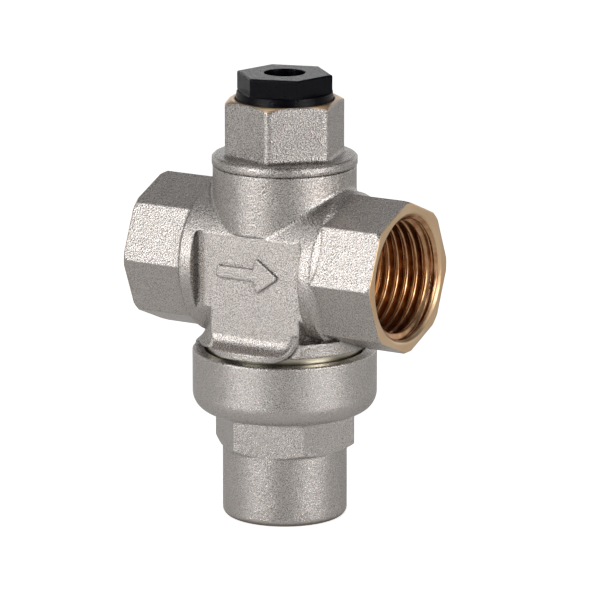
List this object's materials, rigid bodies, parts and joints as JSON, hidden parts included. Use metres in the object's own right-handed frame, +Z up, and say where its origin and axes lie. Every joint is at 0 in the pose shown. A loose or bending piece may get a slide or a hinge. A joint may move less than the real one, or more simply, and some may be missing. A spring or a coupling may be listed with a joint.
{
  "type": "pressure reducing valve",
  "caption": "Straight pressure reducing valve with octagonal female ports, plugged gauge port on top and a spring bonnet with adjusting screw below.",
  "frame": {"origin": "on the piston axis at the foot of the bonnet", "axes": "+Z up along the piston axis, +X along the port axis to the outlet, -Y the side with the cast arrow"},
  "size_m": [0.048, 0.031, 0.0757],
  "materials": {
    "nickel_plated_brass": "forged, bead blasted and nickel plated, bare brass on machined faces",
    "turned_brass": "turned",
    "stainless_steel": "turned",
    "spring_steel": "drawn wire and pressed sheet",
    "black_plastic": "moulded, fine matt grain",
    "white_plastic": "turned",
    "nitrile_rubber": "moulded",
    "gasket_fibre": "punched sheet"
  },
  "bodies": {
    "body": {"valve_body": "nickel_plated_brass", "seat_ring": "stainless_steel", "upper_bush": "nickel_plated_brass", "bush_o_ring": "nitrile_rubber", "gauge_plug": "black_plastic", "gauge_plug_o_ring": "nitrile_rubber", "lower_bonnet": "nickel_plated_brass", "bonnet_gasket": "gasket_fibre", "pressure_spring": "spring_steel"},
    "piston_group": {"piston": "turned_brass", "piston_o_ring": "nitrile_rubber", "piston_guide_ring": "white_plastic", "seat_washer": "nitrile_rubber", "disc_holder": "turned_brass", "guide_sleeve": "turned_brass", "guide_o_ring": "nitrile_rubber", "piston_nut": "turned_brass"},
    "spring_seat": {"spring_plate": "spring_steel", "thrust_washer": "white_plastic"},
    "screw": {"adjusting_screw": "turned_brass", "screw_o_ring": "nitrile_rubber"}
  },
  "joints": [
    {"name": "piston_travel", "type": "slide", "parent": "body", "child": "piston_group", "axis": [0, 0, 1], "range_m": [-0.0026, 0], "stiffness_N_per_m": 400, "springref_m": 0.004, "deforming": ["pressure_spring"]},
    {"name": "plate_lift", "type": "slide", "parent": "body", "child": "spring_seat", "axis": [0, 0, 1], "range_m": [-0.002, 0.002], "deforming": ["pressure_spring"]},
    {"name": "screw_turn", "type": "hinge", "parent": "spring_seat", "child": "screw", "pos_m": [0, 0, 0.0064], "axis": [0, 0, 1], "range_deg": [-480.1, 480.1]}
  ],
  "couplings": [
    {"joint": "screw_turn", "follows": "plate_lift", "rad_per_m": 4188.8}
  ]
}
